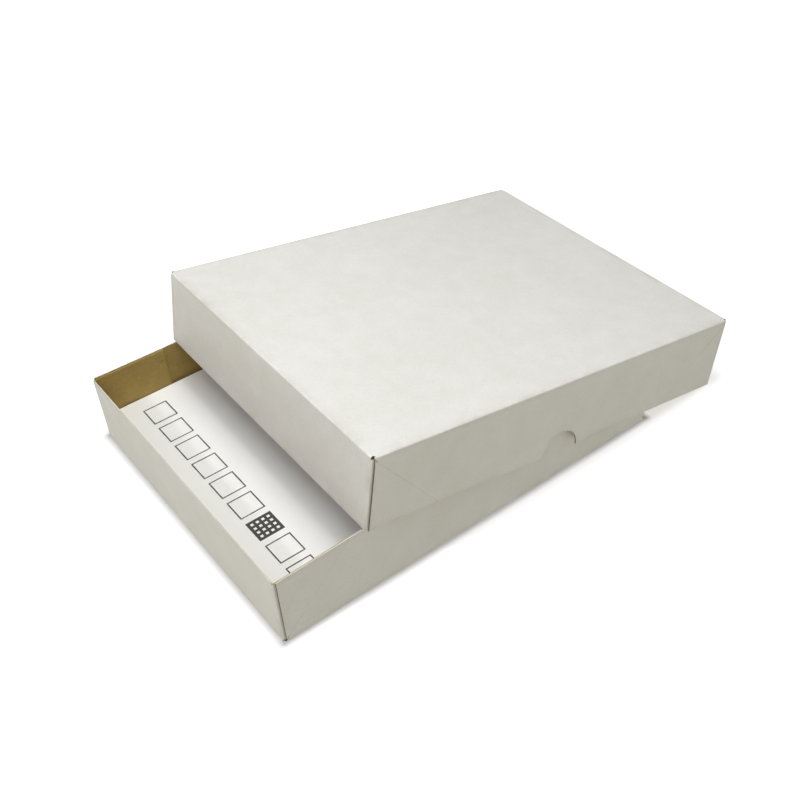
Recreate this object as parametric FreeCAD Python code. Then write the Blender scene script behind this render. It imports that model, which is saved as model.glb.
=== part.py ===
"""A two-piece telescoping paperboard storage box, open, with a stack of letter sheets in its base.

Base and lid are pre-glued trays. Each is one creased blank: a flat panel, four walls, a glue flap
at each end of both end walls, and a 45 degree crease near each end of both long walls, which
makes a triangular corner web. The flaps are glued inside the webs only, so the tray folds flat.
Every panel between two creases is its own solid.

Frame, in millimetres: the origin is the middle of the base's underside. +X runs along the box
towards the end that the lid is pushed to (the rear), +Y is to the left and +Z is up.
"""

import FreeCAD
import Part
import math
import os
from FreeCAD import Placement, Rotation, Vector

# ---- board ---------------------------------------------------------------------------------
BOARD = 0.8              # thickness of the folded boxboard
GLUE_FILM = 0.1          # thickness of a glue spot, and so the gap between a flap and its web
CORNER_SETBACK = 1.6     # a long wall stops this far short of the end wall's outer face
FLAP_LENGTH = 51.0       # glue flap, measured from the end wall's outer face
FLAP_RELIEF = 0.4        # a flap's lower edge stands this far off the panel
FLAP_DROP = 0.8          # a flap's rim is this far below the walls' rims
RELIEF_HOLE_RADIUS = 1.3 # round cut in the panel where the creases of a corner meet
CREASE_HALF_WIDTH = 0.25 # scored groove along a 45 degree crease, on the outer face
GLUE_INSET = 5.0         # bare margin round a glue spot inside its web

# ---- trays: outside sizes ------------------------------------------------------------------
BASE_LENGTH = 285.0
BASE_WIDTH = 222.0
BASE_HEIGHT = 50.0
LID_LENGTH = 288.5
LID_WIDTH = 227.0
LID_HEIGHT = 51.0
NOTCH_RADIUS = 14.3      # half-round thumb notch in the middle of the lid's long rims

# ---- where the lid rests: pushed back, front end on the base's rims, rear edge on the table --
LID_SHIFT_X = 68.5
LID_SHIFT_Y = -0.8
LID_YAW = -0.5           # degrees about +Z
RIM_CLEARANCE = 0.3      # between the lid's front edge and the base's rims

# ---- paper ---------------------------------------------------------------------------------
SHEET_LENGTH = 279.4
SHEET_WIDTH = 215.9
STACK_TOP = 19.5         # height of the top sheet's printed face above the base's underside
PRINTED_SHEET = 0.25     # the printed sheet on top of the stack

OUT_DIR = "parts"
FRONT, REAR = -1, 1


def prism(outline, direction):
    """A solid from a closed list of edges, pushed along direction."""
    return Part.Face(Part.Wire(outline)).extrude(direction)


def polygon_prism(points, direction):
    return Part.Face(Part.makePolygon(points + [points[0]])).extrude(direction)


def folded_strip(corner, inward, along, up, length, height):
    """A wall strip with the quarter-round outer face of the fold at its foot.

    corner is where the two outer faces would meet, at one end of the fold line; inward points
    across the board, away from the outer face; the strip is length long in the direction along.
    """
    top_outer = corner + up * height
    top_inner = top_outer + inward * BOARD
    foot_inner = corner + inward * BOARD
    foot_outer = corner + up * BOARD
    bend = foot_inner + up * BOARD
    arc_middle = bend - (inward + up) * (BOARD / math.sqrt(2.0))
    outline = [
        Part.LineSegment(foot_outer, top_outer).toShape(),
        Part.LineSegment(top_outer, top_inner).toShape(),
        Part.LineSegment(top_inner, foot_inner).toShape(),
        Part.Arc(foot_inner, arc_middle, foot_outer).toShape(),
    ]
    return prism(outline, along * length)


def panel(length, width):
    """The flat panel between the four folds, with a round relief cut at each corner."""
    inner_length = length - 2 * BOARD
    inner_width = width - 2 * BOARD
    sheet = Part.makeBox(inner_length, inner_width, BOARD, Vector(-inner_length / 2, -inner_width / 2, 0))
    for side_x in (-1, 1):
        for side_y in (-1, 1):
            centre = Vector(side_x * inner_length / 2, side_y * inner_width / 2, -BOARD)
            sheet = sheet.cut(Part.makeCylinder(RELIEF_HOLE_RADIUS, 3 * BOARD, centre))
    return sheet


def flap_plane(width):
    """Distance from the middle plane to a glue flap's inner face, which is also its fold line."""
    return width / 2 - 2 * BOARD - GLUE_FILM


def end_wall(end, length, width, height):
    half = flap_plane(width)
    corner = Vector(end * length / 2, -half, 0)
    return folded_strip(corner, Vector(-end, 0, 0), Vector(0, 1, 0), Vector(0, 0, 1), 2 * half, height)


def glue_flap(end, side, length, width, height):
    """A flap that turns in from an end wall and lies against the inside of a long wall."""
    foot = BOARD + FLAP_RELIEF
    corner = Vector(end * length / 2, side * (flap_plane(width) + BOARD), foot)
    rise = Vector(0, 0, 1)
    inward = Vector(0, -side, 0)
    return folded_strip(corner, inward, rise, Vector(-end, 0, 0), height - FLAP_DROP - foot, FLAP_LENGTH)


def crease_groove(end, side, length, width, height):
    """The scored V along a corner's 45 degree crease: a square bar sunk into the outer face."""
    bar_side = CREASE_HALF_WIDTH * math.sqrt(2.0)
    bar_length = (height + 2 * BOARD) * math.sqrt(2.0)
    bar = Part.makeBox(bar_length, bar_side, bar_side, Vector(0, -bar_side / 2, -bar_side / 2))
    bar.Placement = Placement(Vector(0, 0, 0), Rotation(Vector(1, 0, 0), 45))
    climb = Rotation(Vector(0, 1, 0), -45 if end == FRONT else -135)
    bar.Placement = Placement(Vector(end * length / 2, side * width / 2, 0), climb).multiply(bar.Placement)
    return bar


def web_cutter(end, side, length, width, height):
    """The space above a corner's 45 degree crease, which divides the web from its long wall."""
    reach = height + BOARD
    y_outer = side * (width / 2 + BOARD)
    x_end = end * length / 2
    points = [
        Vector(x_end, y_outer, 0),
        Vector(x_end - end * reach, y_outer, reach),
        Vector(x_end, y_outer, reach),
    ]
    return polygon_prism(points, Vector(0, -side * 3 * BOARD, 0))


def long_wall(side, length, width, height, notch_radius):
    """One long side: the wall between its two 45 degree creases, and the two corner webs."""
    run = length - 2 * CORNER_SETBACK
    corner = Vector(-run / 2, side * width / 2, 0)
    strip = folded_strip(corner, Vector(0, -side, 0), Vector(1, 0, 0), Vector(0, 0, 1), run, height)
    webs = {}
    for end in (FRONT, REAR):
        strip = strip.cut(crease_groove(end, side, length, width, height))
        cutter = web_cutter(end, side, length, width, height)
        webs[end] = strip.common(cutter)
        strip = strip.cut(cutter)
    if notch_radius:
        start = Vector(0, side * (width / 2 + BOARD), height)
        strip = strip.cut(Part.makeCylinder(notch_radius, 3 * BOARD, start, Vector(0, -side, 0)))
    return strip, webs


def glue_spot(end, side, length, width, height):
    """A three-cornered film of glue between a flap and the web outside it."""
    y_inner_face = side * (width / 2 - BOARD)
    x_end = end * length / 2
    low = 3 * GLUE_INSET
    high = height - GLUE_INSET
    near = GLUE_INSET
    points = [
        Vector(x_end - end * near, y_inner_face, low),
        Vector(x_end - end * near, y_inner_face, high),
        Vector(x_end - end * (high - low + near), y_inner_face, high),
    ]
    return polygon_prism(points, Vector(0, -side * GLUE_FILM, 0))


def tray(prefix, panel_name, side_names, length, width, height, notch_radius=0.0):
    """Every piece of one tray, rim up, on the plane z = 0, keyed by its node name."""
    ends = {FRONT: "front", REAR: "rear"}
    nodes = {f"{prefix}_{panel_name}": panel(length, width)}
    spots = []
    for side, side_name in side_names.items():
        wall, webs = long_wall(side, length, width, height, notch_radius)
        nodes[f"{prefix}_{side_name}_side_wall"] = wall
        for end, end_name in ends.items():
            place = f"{prefix}_{end_name}_{side_name}"
            nodes[f"{place}_corner_web"] = webs[end]
            nodes[f"{place}_glue_flap"] = glue_flap(end, side, length, width, height)
            spots.append(glue_spot(end, side, length, width, height))
    for end, end_name in ends.items():
        nodes[f"{prefix}_{end_name}_end_wall"] = end_wall(end, length, width, height)
    nodes[f"{prefix}_glue_spots"] = Part.makeCompound(spots)
    return nodes


def lid_placement():
    """Turns the lid over and leans it: front edge on the base's rims, rear edge on the table."""
    sine = (BASE_HEIGHT + RIM_CLEARANCE) / (LID_LENGTH - BOARD)
    pitch = math.asin(sine)
    height = LID_LENGTH / 2 * sine + LID_HEIGHT * math.cos(pitch)
    turned_over = Rotation(Vector(1, 0, 0), 180)
    leaned = Rotation(Vector(0, 1, 0), math.degrees(pitch))
    yawed = Rotation(Vector(0, 0, 1), LID_YAW)
    turn = yawed.multiply(leaned).multiply(turned_over)
    return Placement(Vector(LID_SHIFT_X, LID_SHIFT_Y, height), turn)


def sheets(bottom, top):
    size = (SHEET_LENGTH, SHEET_WIDTH, top - bottom)
    return Part.makeBox(*size, Vector(-SHEET_LENGTH / 2, -SHEET_WIDTH / 2, bottom))


def build():
    nodes = tray("base", "bottom_panel", {-1: "right", 1: "left"}, BASE_LENGTH, BASE_WIDTH, BASE_HEIGHT)
    lid = tray("lid", "top_panel", {1: "right", -1: "left"}, LID_LENGTH, LID_WIDTH, LID_HEIGHT, NOTCH_RADIUS)
    placement = lid_placement()
    for shape in lid.values():
        shape.transformShape(placement.toMatrix())
    nodes.update(lid)
    nodes["sheet_stack"] = sheets(BOARD, STACK_TOP - PRINTED_SHEET)
    nodes["printed_top_sheet"] = sheets(STACK_TOP - PRINTED_SHEET, STACK_TOP)
    return nodes


def export(nodes):
    os.makedirs(OUT_DIR, exist_ok=True)
    for name, shape in sorted(nodes.items()):
        shape.exportStep(os.path.join(OUT_DIR, f"{name}.step"))
        box = shape.BoundBox
        print(f"{name}: {len(shape.Solids)} solid(s), valid {shape.isValid()}, {shape.Volume:.1f} mm3,"
              f" x {box.XMin:.2f}..{box.XMax:.2f} y {box.YMin:.2f}..{box.YMax:.2f}"
              f" z {box.ZMin:.2f}..{box.ZMax:.2f}")


export(build())
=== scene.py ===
"""Looks for the open telescoping paperboard box: boards, paper, light, floor and camera.

Lengths are in metres. Each tray is described rim up, in its own axes: panel on z = 0, length along
x, width along y. MM turns millimetres into metres.
"""

import bpy
import math
import random
from mathutils import Matrix, Vector, noise


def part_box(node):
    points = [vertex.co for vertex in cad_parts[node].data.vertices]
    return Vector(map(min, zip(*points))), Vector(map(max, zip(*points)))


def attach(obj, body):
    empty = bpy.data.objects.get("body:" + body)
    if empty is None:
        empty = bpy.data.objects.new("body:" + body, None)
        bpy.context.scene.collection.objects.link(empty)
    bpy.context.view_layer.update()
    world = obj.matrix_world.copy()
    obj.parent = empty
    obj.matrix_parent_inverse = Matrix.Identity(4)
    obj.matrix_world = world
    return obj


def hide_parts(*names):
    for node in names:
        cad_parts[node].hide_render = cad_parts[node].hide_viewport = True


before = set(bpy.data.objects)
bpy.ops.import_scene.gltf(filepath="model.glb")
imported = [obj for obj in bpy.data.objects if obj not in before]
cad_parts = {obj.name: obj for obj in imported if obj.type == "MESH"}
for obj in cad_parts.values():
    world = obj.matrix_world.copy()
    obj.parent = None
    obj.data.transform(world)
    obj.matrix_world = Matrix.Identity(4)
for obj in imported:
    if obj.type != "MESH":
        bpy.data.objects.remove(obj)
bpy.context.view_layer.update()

MM = 0.001

# ---- board and trays, as in the CAD model ------------------------------------------------------
BASE_SIZE = (285 * MM, 222 * MM, 50 * MM)
LID_SIZE = (288.5 * MM, 227 * MM, 51 * MM)
NOTCH_RADIUS = 14.3 * MM         # half-round thumb notch in the middle of the lid's long rims
BOARD = 0.8 * MM
GLUE_FILM = 0.1 * MM
CORNER_SETBACK = 1.6 * MM        # a side wall stops this short of the end wall's outer face
FLAP_LENGTH = 51 * MM            # glue flap, measured from the end wall's outer face
FLAP_FOOT = 1.7 * MM             # height of a flap's lower edge
FLAP_DROP = 0.8 * MM             # a flap's rim is this far below the walls' rims
FOLD_RADIUS = 1.0 * MM           # outside radius of a fold
RIM_CLEARANCE = 0.3 * MM         # between the lid's front edge and the base's rims
LID_SHIFT = (68.5 * MM, -0.8 * MM)
LID_YAW = math.radians(-0.5)

# ---- how the board gives way -------------------------------------------------------------------
CREASE_DEPTH = 0.16 * MM         # scored groove along the 45 degree creases
CREASE_SPREAD = 0.4 * MM
WEB_FLARE = {-1: 0.35 * MM, 1: 0.0}   # front webs' free edges stand off; the lid holds the base's rear in
WEB_FLARE_REACH = 3.5 * MM
WEB_FOOT = CORNER_SETBACK + 0.3 * MM
RIPPLE = 0.07 * MM               # slow unevenness of the board
RIPPLE_PER_METRE = 14.0
RIPPLE_SEEDS = {"base": Vector((0.0, 0.0, 0.0)), "lid": Vector((3.1, 7.7, 1.3))}
RIPPLE_DRAW = 1                  # fixes the ripple; unset or 0, noise_vector takes it from the clock
LEAN_BEGINS = 0.4                # share of a tray's width from its middle where a side's lean begins
LEAN_BLEND = 0.09                # share of the width over which it grows to the full lean

# ---- mesh steps --------------------------------------------------------------------------------
SMOOTH_ANGLE = math.radians(32)  # sharper edges than this stay sharp
FOLD_STEPS = 6                   # round each fold
WALL_STEPS = 16                  # up a wall above its fold
PANEL_STEPS = (60, 48)
PANEL_MARGIN = 1.6 * MM          # a panel's outermost steps
END_WALL_STEPS = 52
FLAP_STEPS = (18, 14)            # along and up
WEB_STEPS = 22
WEB_COLUMNS = (0, 0.1, 0.25, 0.42, 0.58, 0.72, 0.83, 0.9, 0.945, 0.97, 0.985, 1)
NOTCH_STEPS = 28
NOTCH_SPAN = 30 * MM             # the side walls' middle columns reach this far from the middle
CREASE_STEPS = [step * MM for step in (0.0, 0.15, 0.3, 0.5, 0.8, 1.2, 2.0, 4.5)]

# ---- glue --------------------------------------------------------------------------------------
GLUE_CORNERS = [(5 * MM, 15 * MM), (5 * MM, 45 * MM), (35 * MM, 45 * MM)]  # (from the end, up)
GLUE_CENTRE = (15 * MM, 35 * MM)
GLUE_OUTLINE_STEPS = 10          # on each side of a glue film's outline
GLUE_WOBBLE = 0.12

# ---- camera, floor and light -------------------------------------------------------------------
CAMERA_ANGLES = (-34.42, 41.08, -4.25)   # azimuth, elevation and roll in degrees
CAMERA_DISTANCE = 0.749
CAMERA_TARGET = (0.0296, 0.0101, 0.0)
CAMERA_LENS = 48.81              # millimetres, on a 36 mm sensor
FLOOR_HEIGHT = -0.05 * MM
FLOOR_RADIUS = 2.4
COVE_RADIUS = 1.2
WALL_TOP = 5.0
FLOOR_ALBEDO = 0.7
FLOOR_GLOW_NEAR = 0.56
FLOOR_GLOW_FAR = 1.0
GLOW_RAMP = (0.16, 0.6)          # distances from the middle between which the glow grows
PAINTED_SHADOW_REACH = 4.5 * MM         # painted contact shadow: the floor's glow fades out this close to the base's outline
PAINTED_SHADOW_GLOW = 0.12              # the share of the glow left at the outline, where the painted shadow is darkest
SKY_ABOVE = (0.125, 0.117, 0.108)
SKY_BELOW = (0.79, 0.777, 0.67)
AIM = (0.0, 0.0, 0.05)
SOFTBOXES = [  # name, place, diameter, watts, colour
    ("overhead", (0.08, 0.0, 1.05), 0.34, 4.5, (1.0, 1.0, 1.0)),
    ("low_overhead_front", (-0.22, -0.12, 0.75), 0.35, 1.55, (0.95, 0.99, 1.0)),
    ("front_lamp", (-0.97, -0.05, 0.87), 0.09, 2.5, (0.98, 0.96, 1.0)),
    ("camera_side_fill", (-0.7, -0.9, 1.1), 0.8, 3.1, (0.96, 0.93, 0.99)),
]

# ---- paper -------------------------------------------------------------------------------------
SHEETS_IN_STACK = 92
SHEET_STRAY = 0.35 * MM          # how far a sheet may lie from the stack's place
SHEET_TURN = 0.0008              # radians that a sheet may be turned by
LEAF_SHARE = 0.93                # a leaf's share of its pitch in the stack
TOP_SHEET_THICKNESS = 0.12 * MM
TOP_SHEET_WAVE = 0.06 * MM
TOP_SHEET_WAVES_PER_METRE = 22
MARK_SIZE = 17.3 * MM
MARK_PITCH = 22.1 * MM
MARK_LINE = 0.9 * MM
MARK_COUNT = 9
TILE_INDEX = 6                   # the mark that is a dark tile, counted from the left side
MARKS_FROM_FRONT = 19.2 * MM     # from the sheet's front edge
MARKS_FROM_LEFT = 12.65 * MM     # from the sheet's left edge to the first mark
TILE_CELLS = 4                   # the dark tile holds this many small light squares each way
TILE_CELL_SHARE = 0.5            # a light square's share of its pitch
TILE_BORDER = 1.1 * MM


class Tray:
    """Sizes and place of one tray.

    lean and bow are how far its side walls give, out is positive. sag is how far its panel hangs
    in the middle, and tuck how far the panel's corners are cut away.
    """

    def __init__(self, prefix, size, notch, place, sides, lean, bow, sag, tuck):
        self.prefix = prefix
        self.length, self.width, self.height = size
        self.notch = notch
        self.place = place
        self.sides = sides
        self.lean = lean
        self.bow = bow
        self.sag = sag
        self.tuck = tuck
        self.flap_face = self.width / 2 - BOARD - GLUE_FILM

    def give(self, point, in_flap=False):
        """Where a point of the flat-sided tray goes when the board leans, bows and ripples."""
        side = 1 if point.y > 0 else -1
        from_end = self.length / 2 - abs(point.x)
        rise = max(point.z, 0.0) / self.height
        run = max(from_end, 0.0) / self.height
        hinge = run if in_flap else soft_min(run, rise)
        near_side = smooth_step((abs(point.y) / self.width - LEAN_BEGINS) / LEAN_BLEND)
        free = max(self.length - 2 * FLAP_LENGTH, MM)
        along = min(max((from_end - FLAP_LENGTH) / (free / 2), 0.0), 1.0)
        swell = self.bow[side] * rise ** 2 * math.sin(along * math.pi / 2) ** 2
        shift_y = side * near_side * (self.lean[side] * min(hinge, 1.0) + swell)
        flat_x = max(1 - (2 * point.x / self.length) ** 2, 0.0)
        flat_y = max(1 - (2 * point.y / self.width) ** 2, 0.0)
        shift_z = self.sag * flat_x * flat_y * max(1 - rise * 4, 0.0)
        ripple = noise.noise_vector(point * RIPPLE_PER_METRE + RIPPLE_SEEDS[self.prefix]) * RIPPLE
        return point + Vector((ripple.x, shift_y + ripple.y, shift_z + ripple.z * min(rise * 2, 1.0)))


def soft_min(a, b, blend=0.02):
    return 0.5 * (a + b - math.sqrt((a - b) ** 2 + blend ** 2))


def smooth_step(value):
    t = min(max(value, 0.0), 1.0)
    return t * t * (3 - 2 * t)


def lid_place():
    """Turned over, front edge on the base's rims and rear edge on the table, as in the CAD model."""
    base_height = BASE_SIZE[2]
    lid_length, _, lid_height = LID_SIZE
    sine = (base_height + RIM_CLEARANCE) / (lid_length - BOARD)
    pitch = math.asin(sine)
    lift = lid_length / 2 * sine + lid_height * math.cos(pitch)
    move = Matrix.Translation((LID_SHIFT[0], LID_SHIFT[1], lift))
    return (move @ Matrix.Rotation(LID_YAW, 4, "Z") @ Matrix.Rotation(pitch, 4, "Y")
            @ Matrix.Rotation(math.pi, 4, "X"))


BASE = Tray("base", BASE_SIZE, notch=0.0, place=Matrix.Identity(4), sides={-1: "right", 1: "left"},
            lean={-1: -1.1 * MM, 1: -1.1 * MM}, bow={-1: -0.9 * MM, 1: 0.6 * MM}, sag=0.0, tuck=0.1 * MM)
LID = Tray("lid", LID_SIZE, notch=NOTCH_RADIUS, place=lid_place(), sides={1: "right", -1: "left"},
           lean={-1: 0.0, 1: 0.0}, bow={-1: 1.2 * MM, 1: 1.6 * MM}, sag=0.7 * MM, tuck=0.9 * MM)
PANEL_NAMES = {"base": "bottom_panel", "lid": "top_panel"}
ENDS = {-1: "front", 1: "rear"}


# ---- materials ---------------------------------------------------------------------------------
def new_material(name):
    material = bpy.data.materials.new(name)
    material.use_nodes = True
    tree = material.node_tree
    shader = tree.nodes["Principled BSDF"]
    return material, tree, shader


def add_node(tree, kind, **settings):
    node = tree.nodes.new(kind)
    for key, value in settings.items():
        if key in node.inputs.keys():
            node.inputs[key].default_value = value
        else:
            setattr(node, key, value)
    return node


def object_position(tree, stretch=(1.0, 1.0, 1.0)):
    """The point on the piece, in metres, stretched per axis."""
    coordinates = add_node(tree, "ShaderNodeTexCoord")
    mapping = add_node(tree, "ShaderNodeMapping", Scale=stretch)
    tree.links.new(coordinates.outputs["Object"], mapping.inputs["Vector"])
    return mapping.outputs["Vector"]


def noise_field(tree, position, per_metre, detail=4.0, roughness=0.55):
    field = add_node(tree, "ShaderNodeTexNoise", Scale=per_metre, Detail=detail, Roughness=roughness)
    tree.links.new(position, field.inputs["Vector"])
    return field.outputs["Fac"]


def colour_ramp(tree, factor, stops):
    ramp = add_node(tree, "ShaderNodeValToRGB")
    elements = ramp.color_ramp.elements
    while len(elements) < len(stops):
        elements.new(0.5)
    for element, (place, colour) in zip(elements, stops):
        element.position = place
        element.color = (*colour, 1.0)
    tree.links.new(factor, ramp.inputs["Fac"])
    return ramp.outputs["Color"]


def mix_colour(tree, factor, first, second, blend="MIX"):
    """factor may be a number or a socket; first and second are sockets or colours."""
    mix = add_node(tree, "ShaderNodeMix", data_type="RGBA", blend_type=blend)
    for socket, value in ((mix.inputs[0], factor), (mix.inputs[6], first), (mix.inputs[7], second)):
        if isinstance(value, bpy.types.NodeSocket):
            tree.links.new(value, socket)
        elif isinstance(value, tuple):
            socket.default_value = (*value, 1.0)
        else:
            socket.default_value = value
    return mix.outputs[2]


def math_node(tree, operation, first, second):
    node = add_node(tree, "ShaderNodeMath", operation=operation)
    for socket, value in zip(node.inputs, (first, second)):
        if isinstance(value, bpy.types.NodeSocket):
            tree.links.new(value, socket)
        else:
            socket.default_value = value
    return node.outputs[0]


def remap(tree, value, low, high, to_low=0.0, to_high=1.0):
    node = add_node(tree, "ShaderNodeMapRange")
    tree.links.new(value, node.inputs["Value"])
    for name, number in (("From Min", low), ("From Max", high), ("To Min", to_low), ("To Max", to_high)):
        node.inputs[name].default_value = number
    return node.outputs["Result"]


def bump_chain(tree, shader, layers):
    """layers: (height socket, strength, distance in metres), coarse first."""
    previous = None
    for height, strength, distance in layers:
        bump = add_node(tree, "ShaderNodeBump", Strength=strength, Distance=distance)
        tree.links.new(height, bump.inputs["Height"])
        if previous:
            tree.links.new(previous, bump.inputs["Normal"])
        previous = bump.outputs["Normal"]
    tree.links.new(previous, shader.inputs["Normal"])


def wear_mask(tree, position):
    """Broken-up rubbing along folds, rims and corners, and a darker line along the scored creases, from the
    piece's own wear attribute.
    """
    attribute = add_node(tree, "ShaderNodeAttribute", attribute_name="wear")
    patches = remap(tree, noise_field(tree, position, 55.0, 5.0, 0.65), 0.42, 0.7)
    return math_node(tree, "MULTIPLY", attribute.outputs["Fac"], patches)


def white_liner_material():
    material, tree, shader = new_material("white_liner")
    position = object_position(tree)
    clouds = noise_field(tree, position, 9.0, 3.0)
    tone = colour_ramp(tree, clouds, [(0.3, (0.79, 0.78, 0.737)), (0.7, (0.83, 0.823, 0.787))])
    blotches = noise_field(tree, position, 65.0, 3.0, 0.6)
    blotch_tone = colour_ramp(tree, blotches, [(0.35, (0.965, 0.962, 0.945)), (0.65, (1.0, 1.0, 1.0))])
    tone = mix_colour(tree, 1.0, tone, blotch_tone, "MULTIPLY")
    fibres = noise_field(tree, position, 700.0, 3.0, 0.7)
    speck = colour_ramp(tree, fibres, [(0.35, (0.955, 0.952, 0.94)), (0.6, (1.0, 1.0, 1.0))])
    tone = mix_colour(tree, 1.0, tone, speck, "MULTIPLY")
    flecks = remap(tree, noise_field(tree, position, 420.0, 1.0), 0.735, 0.78)
    tone = mix_colour(tree, math_node(tree, "MULTIPLY", flecks, 0.15), tone, (0.45, 0.42, 0.34))
    worn = wear_mask(tree, position)
    tone = mix_colour(tree, math_node(tree, "MULTIPLY", worn, 0.62), tone, (0.56, 0.53, 0.46))
    tree.links.new(tone, shader.inputs["Base Color"])
    tree.links.new(remap(tree, fibres, 0.3, 0.7, 0.52, 0.66), shader.inputs["Roughness"])
    shader.inputs["Specular IOR Level"].default_value = 0.3
    coarse = noise_field(tree, position, 120.0, 3.0)
    fine = noise_field(tree, position, 1500.0, 4.0, 0.6)
    bump_chain(tree, shader, [(coarse, 0.25, 0.00012), (fine, 0.3, 0.00003)])
    return material


def kraft_liner_material():
    material, tree, shader = new_material("kraft_liner")
    position = object_position(tree)
    grain = object_position(tree, (0.5, 1.0, 1.0))
    clouds = noise_field(tree, position, 16.0, 4.0)
    tone = colour_ramp(tree, clouds, [(0.3, (0.36, 0.25, 0.073)), (0.72, (0.465, 0.345, 0.117))])
    streaks = noise_field(tree, grain, 520.0, 5.0, 0.7)
    streak_tone = colour_ramp(tree, streaks, [(0.3, (0.88, 0.86, 0.82)), (0.68, (1.04, 1.03, 1.01))])
    tone = mix_colour(tree, 1.0, tone, streak_tone, "MULTIPLY")
    dark = remap(tree, noise_field(tree, grain, 900.0, 2.0), 0.66, 0.74)
    tone = mix_colour(tree, math_node(tree, "MULTIPLY", dark, 0.55), tone, (0.13, 0.075, 0.03))
    pale = remap(tree, noise_field(tree, grain, 760.0, 1.0), 0.68, 0.76)
    tone = mix_colour(tree, math_node(tree, "MULTIPLY", pale, 0.4), tone, (0.62, 0.5, 0.3))
    tree.links.new(tone, shader.inputs["Base Color"])
    tree.links.new(remap(tree, streaks, 0.3, 0.7, 0.68, 0.85), shader.inputs["Roughness"])
    shader.inputs["Specular IOR Level"].default_value = 0.2
    bump_chain(tree, shader, [(streaks, 0.4, 0.00008)])
    return material


def cut_edge_material(name, dark, pale):
    """A die-cut edge of the board, in thin layers: pale and clean on rims; inside the corners, slits and
    notch the core's colour, darkened with painted shade.
    """
    material, tree, shader = new_material(name)
    position = object_position(tree)
    layers = noise_field(tree, position, 2600.0, 3.0, 0.7)
    tone = colour_ramp(tree, layers, [(0.3, dark), (0.7, pale)])
    tree.links.new(tone, shader.inputs["Base Color"])
    shader.inputs["Roughness"].default_value = 0.9
    shader.inputs["Specular IOR Level"].default_value = 0.1
    bump_chain(tree, shader, [(layers, 0.5, 0.0001)])
    return material


def paper_material():
    material, tree, shader = new_material("copy_paper")
    position = object_position(tree)
    clouds = noise_field(tree, position, 14.0, 3.0)
    tone = colour_ramp(tree, clouds, [(0.3, (0.895, 0.895, 0.87)), (0.7, (0.92, 0.92, 0.9))])
    fibres = noise_field(tree, position, 1300.0, 4.0, 0.65)
    speck = colour_ramp(tree, fibres, [(0.3, (0.97, 0.97, 0.965)), (0.65, (1.0, 1.0, 1.0))])
    tone = mix_colour(tree, 1.0, tone, speck, "MULTIPLY")
    tree.links.new(tone, shader.inputs["Base Color"])
    shader.inputs["Roughness"].default_value = 0.78
    shader.inputs["Specular IOR Level"].default_value = 0.25
    bump_chain(tree, shader, [(fibres, 0.2, 0.00003)])
    return material


def stack_edge_material():
    """Trimmed sheet edges: a little greyer than the faces, in fine level lines."""
    material, tree, shader = new_material("trimmed_paper_edges")
    position = object_position(tree, (0.15, 0.15, 1.0))
    lines = noise_field(tree, position, 5200.0, 2.0, 0.6)
    tone = colour_ramp(tree, lines, [(0.35, (0.6, 0.6, 0.57)), (0.65, (0.86, 0.86, 0.84))])
    tree.links.new(tone, shader.inputs["Base Color"])
    shader.inputs["Roughness"].default_value = 0.85
    shader.inputs["Specular IOR Level"].default_value = 0.2
    bump_chain(tree, shader, [(lines, 0.5, 0.00008)])
    return material


def ink_material():
    material, tree, shader = new_material("grey_print_ink")
    position = object_position(tree)
    grain = noise_field(tree, position, 2200.0, 3.0, 0.7)
    tone = colour_ramp(tree, grain, [(0.35, (0.035, 0.036, 0.034)), (0.75, (0.085, 0.086, 0.08))])
    tree.links.new(tone, shader.inputs["Base Color"])
    shader.inputs["Roughness"].default_value = 0.6
    shader.inputs["Specular IOR Level"].default_value = 0.3
    return material


def glue_material():
    material, tree, shader = new_material("dried_glue")
    position = object_position(tree)
    smears = noise_field(tree, position, 160.0, 4.0, 0.6)
    tone = colour_ramp(tree, smears, [(0.35, (0.5, 0.43, 0.28)), (0.7, (0.72, 0.66, 0.5))])
    tree.links.new(tone, shader.inputs["Base Color"])
    tree.links.new(remap(tree, smears, 0.3, 0.7, 0.35, 0.6), shader.inputs["Roughness"])
    bump_chain(tree, shader, [(smears, 0.4, 0.00005)])
    return material


WHITE = white_liner_material()
KRAFT = kraft_liner_material()
RIM = cut_edge_material("die_cut_rim", (0.5, 0.47, 0.39), (0.74, 0.72, 0.65))
# the board's brown core, much darkened with painted shade, for cut edges in the corner slits, vertex holes
# and the lid's notch
CORE_PAINTED_SHADE = cut_edge_material("board_core_painted_shade", (0.07, 0.055, 0.035), (0.14, 0.115, 0.08))
PAPER = paper_material()
PAPER_EDGES = stack_edge_material()
INK = ink_material()
GLUE = glue_material()
BOARD_MATERIALS = (WHITE, KRAFT, RIM, CORE_PAINTED_SHADE)
OUTSIDE, INSIDE, RIM_FACE, CORE_PAINTED_SHADE_FACE = range(len(BOARD_MATERIALS))


# ---- mesh tools --------------------------------------------------------------------------------
def make_object(name, points, faces, face_materials, materials, wear=None):
    mesh = bpy.data.meshes.new(name)
    mesh.from_pydata([tuple(p) for p in points], [], faces)
    for material in materials:
        mesh.materials.append(material)
    mesh.polygons.foreach_set("material_index", face_materials)
    if wear is not None:
        attribute = mesh.attributes.new("wear", "FLOAT", "POINT")
        attribute.data.foreach_set("value", wear)
    mesh.update()
    mesh.shade_smooth()
    mesh.set_sharp_from_angle(angle=SMOOTH_ANGLE)
    piece = bpy.data.objects.new(name, mesh)
    bpy.context.scene.collection.objects.link(piece)
    return piece


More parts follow.
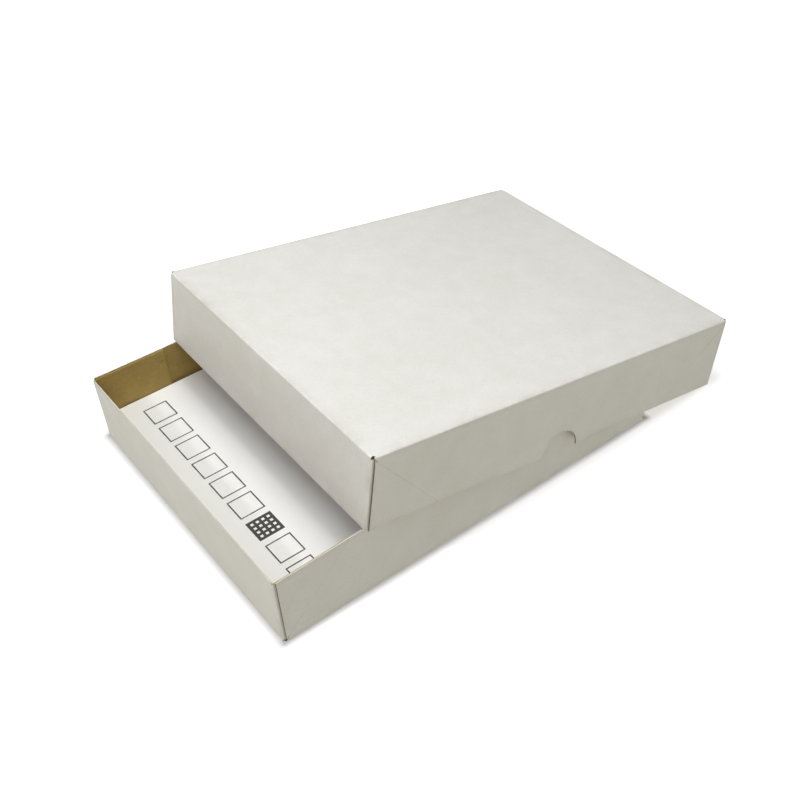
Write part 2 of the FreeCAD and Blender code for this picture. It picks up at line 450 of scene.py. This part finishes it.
def board_piece(tray, name, rows, in_flap=False, rim_look=RIM_FACE, cut_look=CORE_PAINTED_SHADE_FACE, pale_ends=False):
    """A curved plate of board. rows holds (outer point, outward normal, wear) for each grid place.

    The last row's cut edge gets rim_look, and with pale_ends so do the ends of the band below it.
    The other cut edges get cut_look.
    """
    count, width = len(rows), len(rows[0])
    points, wear = [], []
    for depth in (0.0, BOARD):
        for row in rows:
            for point, normal, rubbed in row:
                points.append(tray.place @ tray.give(point - normal * depth, in_flap))
                wear.append(rubbed)
    inner = count * width
    faces, kinds = [], []
    for i in range(count - 1):
        for j in range(width - 1):
            a = i * width + j
            quad = (a, a + 1, a + width + 1, a + width)
            faces.append(quad)
            kinds.append(OUTSIDE)
            faces.append(tuple(inner + k for k in reversed(quad)))
            kinds.append(INSIDE)
    rim_start = (count - (2 if pale_ends else 1)) * width
    for a, b in border_edges(count, width):
        faces.append((b, a, inner + a, inner + b))
        kinds.append(rim_look if min(a, b) >= rim_start else cut_look)
    piece = make_object(f"{tray.prefix}_{name}", points, faces, kinds, BOARD_MATERIALS, wear)
    face_outward(piece)
    return piece


def border_edges(count, width):
    """Edges round a grid, all in the direction that its faces turn."""
    edges = [(j, j + 1) for j in range(width - 1)]
    edges += [(i * width + width - 1, (i + 1) * width + width - 1) for i in range(count - 1)]
    last = (count - 1) * width
    edges += [(last + j + 1, last + j) for j in range(width - 1)]
    edges += [((i + 1) * width, i * width) for i in range(count - 1)]
    return edges


def face_outward(piece):
    """Turns the whole closed mesh the right way out where its volume comes out negative."""
    mesh = piece.data
    volume = 0.0
    for polygon in mesh.polygons:
        corner = [mesh.vertices[k].co for k in polygon.vertices]
        for k in range(1, len(corner) - 1):
            volume += corner[0].dot(corner[k].cross(corner[k + 1]))
    if volume < 0:
        mesh.flip_normals()


def spread(start, stop, count):
    return [start + (stop - start) * k / count for k in range(count + 1)]


def fold_profile(height):
    """(outward offset from the fold line's outer face, z, normal out, normal z) up a wall."""
    profile = []
    for angle in spread(0.0, math.pi / 2, FOLD_STEPS):
        out = FOLD_RADIUS * (math.sin(angle) - 1)
        profile.append((out, FOLD_RADIUS * (1 - math.cos(angle)), math.sin(angle), -math.cos(angle)))
    for z in spread(FOLD_RADIUS, height, WALL_STEPS)[1:]:
        profile.append((0.0, z, 1.0, 0.0))
    return profile


def rubbing(distance, reach=5 * MM):
    """1 at an edge, fading to 0 at reach."""
    return max(0.0, 1.0 - distance / reach) ** 2


# ---- tray pieces -------------------------------------------------------------------------------
def panel_piece(tray):
    half_x = tray.length / 2 - FOLD_RADIUS
    half_y = tray.width / 2 - FOLD_RADIUS
    inner_x = half_x - PANEL_MARGIN
    inner_y = half_y - PANEL_MARGIN
    xs = [-half_x] + spread(-inner_x, inner_x, PANEL_STEPS[0]) + [half_x]
    ys = [-half_y] + spread(-inner_y, inner_y, PANEL_STEPS[1]) + [half_y]
    rows = []
    for i, x in enumerate(xs):
        row = []
        for j, y in enumerate(ys):
            corner = i in (0, len(xs) - 1) and j in (0, len(ys) - 1)
            tuck = tray.tuck if corner else 0.0
            point = Vector((math.copysign(abs(x) - tuck, x), math.copysign(abs(y) - tuck, y), 0))
            rubbed = rubbing(min(half_x - abs(x), half_y - abs(y)))
            row.append((point, Vector((0, 0, -1)), rubbed))
        rows.append(row)
    # the panel's cut edges, seen in the vertex holes, take the core colour darkened with painted shade
    return board_piece(tray, PANEL_NAMES[tray.prefix], rows, rim_look=CORE_PAINTED_SHADE_FACE)


def end_wall_piece(tray, end):
    half = tray.flap_face - FOLD_RADIUS
    rows = []
    for out, z, normal_out, normal_z in fold_profile(tray.height):
        row = []
        for y in spread(-half, half, END_WALL_STEPS):
            point = Vector((end * (tray.length / 2 + out), y, z))
            rubbed = max(rubbing(z), rubbing(tray.height - z), rubbing(half - abs(y)))
            row.append((point, Vector((end * normal_out, 0, normal_z)), rubbed))
        rows.append(row)
    return board_piece(tray, f"{ENDS[end]}_end_wall", rows, pale_ends=True)


def flap_piece(tray, end, side):
    centre_x = tray.length / 2 - FOLD_RADIUS
    centre_y = tray.flap_face - FOLD_RADIUS
    across = []
    for angle in spread(0.0, math.pi / 2, FOLD_STEPS):
        x = centre_x + FOLD_RADIUS * math.cos(angle)
        y = centre_y + FOLD_RADIUS * math.sin(angle)
        across.append((x, y, math.cos(angle), math.sin(angle)))
    for x in spread(centre_x, tray.length / 2 - FLAP_LENGTH, FLAP_STEPS[0])[1:]:
        across.append((x, tray.flap_face, 0.0, 1.0))
    rows = []
    for z in spread(FLAP_FOOT, tray.height - FLAP_DROP, FLAP_STEPS[1]):
        row = []
        for x, y, normal_x, normal_y in across:
            normal = Vector((end * normal_x, side * normal_y, 0))
            rubbed = rubbing(tray.length / 2 - x, 3 * MM)
            row.append((Vector((end * x, side * y, z)), normal, rubbed))
        rows.append(row)
    name = f"{ENDS[end]}_{tray.sides[side]}_glue_flap"
    return board_piece(tray, name, rows, in_flap=True, rim_look=INSIDE, cut_look=INSIDE)


def scored(distance):
    """Depth of the crease's groove at this distance from its line."""
    return CREASE_DEPTH * math.exp(-(distance / CREASE_SPREAD) ** 2)


def side_wall_columns(tray, start):
    """x places across a side wall's row whose crease borders stand start from the middle."""
    left = [-start + step for step in CREASE_STEPS]
    left += spread(-start + CREASE_STEPS[-1], -NOTCH_SPAN, WALL_STEPS)[1:]
    if tray.notch:
        arc = [-tray.notch * math.cos(angle) for angle in spread(0.0, math.pi, NOTCH_STEPS)]
        middle = spread(-NOTCH_SPAN, -tray.notch, 4)[1:] + arc[1:-1] + spread(tray.notch, NOTCH_SPAN, 4)
    else:
        middle = spread(-NOTCH_SPAN, NOTCH_SPAN, WALL_STEPS)[1:]
    return left + middle + [-x for x in reversed(left[:-1])]


def side_wall_piece(tray, side):
    """The wall between its two 45 degree creases, with the thumb notch in a lid's rim."""
    rows = []
    for out, z, normal_out, normal_z in fold_profile(tray.height):
        start = tray.length / 2 - max(z, CORNER_SETBACK)
        row = []
        for x in side_wall_columns(tray, start):
            cut = math.sqrt(max(tray.notch ** 2 - x * x, 0.0))
            level = z
            if cut and z > FOLD_RADIUS:
                share = (z - FOLD_RADIUS) / (tray.height - FOLD_RADIUS)
                level = FOLD_RADIUS + share * (tray.height - cut - FOLD_RADIUS)
            depth = scored((start - abs(x)) / math.sqrt(2)) if z > CORNER_SETBACK else 0.0
            normal = Vector((0, side * normal_out, normal_z))
            point = Vector((x, side * (tray.width / 2 + out), level)) - normal * depth
            # depth / CREASE_DEPTH also darkens the colour along the scored crease line
            rubbed = max(rubbing(level), rubbing(tray.height - cut - level), depth / CREASE_DEPTH)
            row.append((point, normal, rubbed))
        rows.append(row)
    # the notch's cut edge takes the core colour darkened with painted shade, for the shaded crescent
    # between lid and base
    rim_look = CORE_PAINTED_SHADE_FACE if tray.notch else RIM_FACE
    return board_piece(tray, f"{tray.sides[side]}_side_wall", rows, rim_look=rim_look)


def corner_web_piece(tray, end, side):
    """The triangle between a 45 degree crease and the corner's free edge."""
    rows = []
    for z in spread(WEB_FOOT, tray.height, WEB_STEPS):
        row = []
        for share in WEB_COLUMNS:
            from_end = CORNER_SETBACK + (z - CORNER_SETBACK) * share
            normal = Vector((0, side, 0))
            depth = scored((z - from_end) / math.sqrt(2))
            free = min((from_end - CORNER_SETBACK) / WEB_FLARE_REACH, 1.0)
            flare = WEB_FLARE[end] * (1 - free) ** 2 * min((z - from_end) / WEB_FLARE_REACH, 1.0)
            point = Vector((end * (tray.length / 2 - from_end), side * (tray.width / 2 + flare), z))
            # depth / CREASE_DEPTH also darkens the colour along the scored crease line
            rubbed = max(rubbing(from_end, 4 * MM), rubbing(tray.height - z), depth / CREASE_DEPTH)
            row.append((point - normal * depth, normal, rubbed))
        rows.append(row)
    # the web's free edge, seen in each corner's slit, takes the core colour darkened with painted shade
    return board_piece(tray, f"{ENDS[end]}_{tray.sides[side]}_corner_web", rows)


def glue_outline():
    """The film's outline as (from the end, up) places, in order."""
    outline = []
    for k, begin in enumerate(GLUE_CORNERS):
        finish = GLUE_CORNERS[(k + 1) % len(GLUE_CORNERS)]
        for step in range(GLUE_OUTLINE_STEPS):
            share = step / GLUE_OUTLINE_STEPS
            from_end = begin[0] + (finish[0] - begin[0]) * share
            rise = begin[1] + (finish[1] - begin[1]) * share
            outline.append((from_end, rise))
    return outline


def glue_points(tray, end, side):
    """One film's points: the centre and the outline near the web, then the same near the flap."""
    points = []
    for inset in (0.2 * GLUE_FILM, 0.8 * GLUE_FILM):
        for k, (from_end, z) in enumerate([GLUE_CENTRE] + glue_outline()):
            wobble = 1.0 - GLUE_WOBBLE * abs(noise.noise(Vector((k * 0.7, end, side)))) if k else 1.0
            run = GLUE_CENTRE[0] + (from_end - GLUE_CENTRE[0]) * wobble
            rise = GLUE_CENTRE[1] + (z - GLUE_CENTRE[1]) * wobble
            y = side * (tray.width / 2 - BOARD - inset)
            points.append(tray.place @ tray.give(Vector((end * (tray.length / 2 - run), y, rise))))
    return points


def glue_spots_piece(tray):
    """Thin three-cornered films with wavy borders, between each flap and its web."""
    points, faces = [], []
    size = len(glue_outline())
    for side in tray.sides:
        for end in ENDS:
            first = len(points)
            back = first + size + 1
            points += glue_points(tray, end, side)
            for k in range(size):
                here, after = 1 + k, 1 + (k + 1) % size
                turn = [(first, first + here, first + after), (back, back + after, back + here),
                        (first + here, back + here, back + after, first + after)]
                faces += turn if end * side > 0 else [tuple(reversed(face)) for face in turn]
    return make_object(f"{tray.prefix}_glue_films", points, faces, [0] * len(faces), (GLUE,))


def finish_piece(piece, body, node):
    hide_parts(node)
    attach(piece, body)


def build_tray(tray):
    """Every piece of a tray. Its body has the tray's prefix as its name."""
    pieces = [(panel_piece(tray), f"{tray.prefix}_{PANEL_NAMES[tray.prefix]}")]
    for end in ENDS:
        pieces.append((end_wall_piece(tray, end), f"{tray.prefix}_{ENDS[end]}_end_wall"))
    for side, side_name in tray.sides.items():
        pieces.append((side_wall_piece(tray, side), f"{tray.prefix}_{side_name}_side_wall"))
        for end in ENDS:
            place = f"{tray.prefix}_{ENDS[end]}_{side_name}"
            pieces.append((flap_piece(tray, end, side), f"{place}_glue_flap"))
            pieces.append((corner_web_piece(tray, end, side), f"{place}_corner_web"))
    for piece, node in pieces:
        piece.name = f"{node}_board"
        finish_piece(piece, tray.prefix, node)
    finish_piece(glue_spots_piece(tray), tray.prefix, f"{tray.prefix}_glue_spots")


# ---- paper -------------------------------------------------------------------------------------
def sheet_stack_piece():
    """Loose sheets, each a thin slab that lies a little off its neighbours."""
    low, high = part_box("sheet_stack")
    draw = random.Random(7)
    thickness = (high.z - low.z) / SHEETS_IN_STACK
    inward = 1 - 2 * SHEET_STRAY / (high.x - low.x)
    points, faces, kinds = [], [], []
    for k in range(SHEETS_IN_STACK):
        shift_x = draw.uniform(-1, 1) * SHEET_STRAY
        shift_y = draw.uniform(-1, 1) * SHEET_STRAY
        turn = draw.uniform(-1, 1) * SHEET_TURN
        first = len(points)
        for z in (low.z + k * thickness, low.z + (k + LEAF_SHARE) * thickness):
            for x, y in ((low.x, low.y), (high.x, low.y), (high.x, high.y), (low.x, high.y)):
                points.append(Vector((x * inward + shift_x - y * turn, y * inward + shift_y + x * turn, z)))
        quads = [(0, 3, 2, 1), (4, 5, 6, 7), (0, 1, 5, 4), (1, 2, 6, 5), (2, 3, 7, 6), (3, 0, 4, 7)]
        faces += [tuple(first + q for q in quad) for quad in quads]
        kinds += [0, 0, 1, 1, 1, 1]
    return make_object("sheet_stack_leaves", points, faces, kinds, (PAPER, PAPER_EDGES))


def mark_lines(start):
    """Places where the printed square's lines begin and end."""
    return [start, start + MARK_LINE, start + MARK_SIZE - MARK_LINE, start + MARK_SIZE]


def tile_spans(start):
    """(begin, end) of each row of light squares inside the tile that begins at start."""
    pitch = (MARK_SIZE - 2 * TILE_BORDER) / TILE_CELLS
    margin = pitch * (1 - TILE_CELL_SHARE) / 2
    begins = [start + TILE_BORDER + k * pitch + margin for k in range(TILE_CELLS)]
    return [(begin, begin + pitch * TILE_CELL_SHARE) for begin in begins]


def tile_lines(start):
    return [start, start + MARK_SIZE] + [edge for span in tile_spans(start) for edge in span]


def within(value, spans):
    return any(begin < value < end for begin, end in spans)


def is_inked(x, y, marks_x, marks_y):
    """Whether a point of the sheet lies on a printed line or on the dark part of the tile."""
    for index, start_y in enumerate(marks_y):
        if not (marks_x < x < marks_x + MARK_SIZE and start_y < y < start_y + MARK_SIZE):
            continue
        if index == TILE_INDEX:
            return not (within(x, tile_spans(marks_x)) and within(y, tile_spans(start_y)))
        middle_x = marks_x + MARK_LINE < x < marks_x + MARK_SIZE - MARK_LINE
        middle_y = start_y + MARK_LINE < y < start_y + MARK_SIZE - MARK_LINE
        return not (middle_x and middle_y)
    return False


def printed_sheet_piece():
    """The top sheet, with its printed lines as faces of the sheet itself."""
    low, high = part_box("printed_top_sheet")
    marks_x = low.x + MARKS_FROM_FRONT
    marks_y = [high.y - MARKS_FROM_LEFT - MARK_SIZE - k * MARK_PITCH for k in range(MARK_COUNT)]
    xs = set(spread(low.x, high.x, 40)) | set(mark_lines(marks_x)) | set(tile_lines(marks_x))
    ys = set(spread(low.y, high.y, 24))
    for start in marks_y:
        ys |= set(mark_lines(start))
    ys |= set(tile_lines(marks_y[TILE_INDEX]))
    xs, ys = without_near_twins(sorted(xs)), without_near_twins(sorted(ys))
    points, faces, kinds = [], [], []
    for depth in (0.0, TOP_SHEET_THICKNESS):
        for x in xs:
            for y in ys:
                wave_place = Vector((x * TOP_SHEET_WAVES_PER_METRE, y * TOP_SHEET_WAVES_PER_METRE, 0.5))
                lift = TOP_SHEET_WAVE * noise.noise(wave_place)
                points.append(Vector((x, y, high.z - TOP_SHEET_WAVE + lift - depth)))
    width = len(ys)
    under = len(xs) * width
    for i in range(len(xs) - 1):
        for j in range(width - 1):
            a = i * width + j
            quad = (a, a + width, a + width + 1, a + 1)
            middle_x, middle_y = (xs[i] + xs[i + 1]) / 2, (ys[j] + ys[j + 1]) / 2
            faces.append(quad)
            kinds.append(1 if is_inked(middle_x, middle_y, marks_x, marks_y) else 0)
            faces.append(tuple(under + k for k in reversed(quad)))
            kinds.append(0)
    for a, b in border_edges(len(xs), width):
        faces.append((a, b, under + b, under + a))
        kinds.append(2)
    piece = make_object("printed_top_sheet_paper", points, faces, kinds, (PAPER, INK, PAPER_EDGES))
    face_outward(piece)
    return piece


def without_near_twins(values, gap=0.02 * MM):
    kept = [values[0]]
    for value in values[1:]:
        if value - kept[-1] > gap:
            kept.append(value)
    return kept


# ---- stage -------------------------------------------------------------------------------------
def floor_profile():
    """(radius, height) from the middle outwards: flat floor, a wide cove, then an upright wall."""
    profile = [(radius, FLOOR_HEIGHT) for radius in (0.0, 0.3, 0.8, 1.6, FLOOR_RADIUS)]
    for angle in spread(0.0, math.pi / 2, 10)[1:]:
        profile.append((FLOOR_RADIUS + COVE_RADIUS * math.sin(angle),
                        FLOOR_HEIGHT + COVE_RADIUS * (1 - math.cos(angle))))
    profile.append((FLOOR_RADIUS + COVE_RADIUS, WALL_TOP))
    return profile


def build_floor():
    """A round white floor that curves up into a wall. It takes shadows and throws no light back."""
    steps = 72
    profile = floor_profile()
    points = [(0.0, 0.0, FLOOR_HEIGHT)]
    for radius, height in profile[1:]:
        for k in range(steps):
            angle = 2 * math.pi * k / steps
            points.append((radius * math.cos(angle), radius * math.sin(angle), height))
    faces = [(0, 1 + k, 1 + (k + 1) % steps) for k in range(steps)]
    for ring in range(len(profile) - 2):
        inner, outer = 1 + ring * steps, 1 + (ring + 1) * steps
        for k in range(steps):
            after = (k + 1) % steps
            faces.append((inner + k, outer + k, outer + after, inner + after))
    floor = make_object("studio_floor", points, faces, [0] * len(faces), (floor_material(),))
    floor.visible_diffuse = False


def painted_contact_shadow(tree, position):
    """Painted contact shadow on the floor: from PAINTED_SHADOW_GLOW at the base's outline up to 1 at
    PAINTED_SHADOW_REACH from it.
    """
    mirrored = add_node(tree, "ShaderNodeVectorMath", operation="ABSOLUTE")
    outward = add_node(tree, "ShaderNodeVectorMath", operation="SUBTRACT")
    clipped = add_node(tree, "ShaderNodeVectorMath", operation="MAXIMUM")
    distance = add_node(tree, "ShaderNodeVectorMath", operation="LENGTH")
    outward.inputs[1].default_value = (BASE.length / 2, BASE.width / 2, 1.0)
    clipped.inputs[1].default_value = (0.0, 0.0, 0.0)
    tree.links.new(position, mirrored.inputs[0])
    tree.links.new(mirrored.outputs["Vector"], outward.inputs[0])
    tree.links.new(outward.outputs["Vector"], clipped.inputs[0])
    tree.links.new(clipped.outputs["Vector"], distance.inputs[0])
    return remap(tree, distance.outputs["Value"], 0.0, PAINTED_SHADOW_REACH, PAINTED_SHADOW_GLOW, 1.0)


def floor_material():
    """White, with a glow that grows away from the box so that the far floor is as pale as the near, and a
    contact shadow painted along the base's outline by cutting the glow there.
    """
    material, tree, shader = new_material("studio_white")
    coordinates = add_node(tree, "ShaderNodeTexCoord")
    distance = add_node(tree, "ShaderNodeVectorMath", operation="LENGTH")
    tree.links.new(coordinates.outputs["Object"], distance.inputs[0])
    glow = remap(tree, distance.outputs["Value"], *GLOW_RAMP, FLOOR_GLOW_NEAR, FLOOR_GLOW_FAR)
    # cut the glow near the base's outline: a painted contact shadow
    glow = math_node(tree, "MULTIPLY", glow, painted_contact_shadow(tree, coordinates.outputs["Object"]))
    tree.links.new(glow, shader.inputs["Emission Strength"])
    shader.inputs["Emission Color"].default_value = (1, 1, 1, 1)
    shader.inputs["Base Color"].default_value = (FLOOR_ALBEDO, FLOOR_ALBEDO, FLOOR_ALBEDO, 1)
    shader.inputs["Roughness"].default_value = 1.0
    shader.inputs["Specular IOR Level"].default_value = 0.0
    return material


def area_light(name, place, target, size, power, colour):
    data = bpy.data.lights.new(name, "AREA")
    data.shape = "DISK"
    data.size = size
    data.energy = power
    data.color = colour
    lamp = bpy.data.objects.new(name, data)
    lamp.location = place
    lamp.rotation_euler = (Vector(target) - Vector(place)).to_track_quat("-Z", "Y").to_euler()
    bpy.context.scene.collection.objects.link(lamp)


def build_world():
    """Faint light from above, and from below what a pale floor would throw back."""
    world = bpy.data.worlds.new("soft_room")
    world.use_nodes = True
    tree = world.node_tree
    background = tree.nodes["Background"]
    direction = add_node(tree, "ShaderNodeTexCoord")
    split = add_node(tree, "ShaderNodeSeparateXYZ")
    tree.links.new(direction.outputs["Generated"], split.inputs["Vector"])
    height = remap(tree, split.outputs["Z"], -0.03, 0.03)
    colour = mix_colour(tree, height, SKY_BELOW, SKY_ABOVE)
    tree.links.new(colour, background.inputs["Color"])
    background.inputs["Strength"].default_value = 1.0
    bpy.context.scene.world = world


def build_camera():
    """Stands at the measured angle, distance and tilt from a point on the table under the box."""
    azimuth, elevation, roll = (math.radians(angle) for angle in CAMERA_ANGLES)
    back = Vector((math.sin(azimuth) * math.cos(elevation), -math.cos(azimuth) * math.cos(elevation),
                   math.sin(elevation)))
    right = Vector((math.cos(azimuth), math.sin(azimuth), 0))
    up = back.cross(right)
    turned_right = right * math.cos(roll) + up * math.sin(roll)
    turned_up = up * math.cos(roll) - right * math.sin(roll)
    place = Vector(CAMERA_TARGET) + back * CAMERA_DISTANCE
    pose = Matrix((turned_right, turned_up, back)).transposed().to_4x4()
    data = bpy.data.cameras.new("camera")
    data.lens = CAMERA_LENS
    data.sensor_width = 36.0
    data.clip_start = 0.01
    camera = bpy.data.objects.new("camera", data)
    camera.matrix_world = Matrix.Translation(place) @ pose
    bpy.context.scene.collection.objects.link(camera)
    bpy.context.scene.camera = camera


bpy.context.scene.view_settings.view_transform = "Standard"
build_camera()
build_world()
build_floor()
for light_name, light_place, light_size, watts, light_colour in SOFTBOXES:
    area_light(light_name, light_place, AIM, light_size, watts, light_colour)

noise.seed_set(RIPPLE_DRAW)
build_tray(BASE)
build_tray(LID)
finish_piece(sheet_stack_piece(), "stack", "sheet_stack")
finish_piece(printed_sheet_piece(), "top_sheet", "printed_top_sheet")
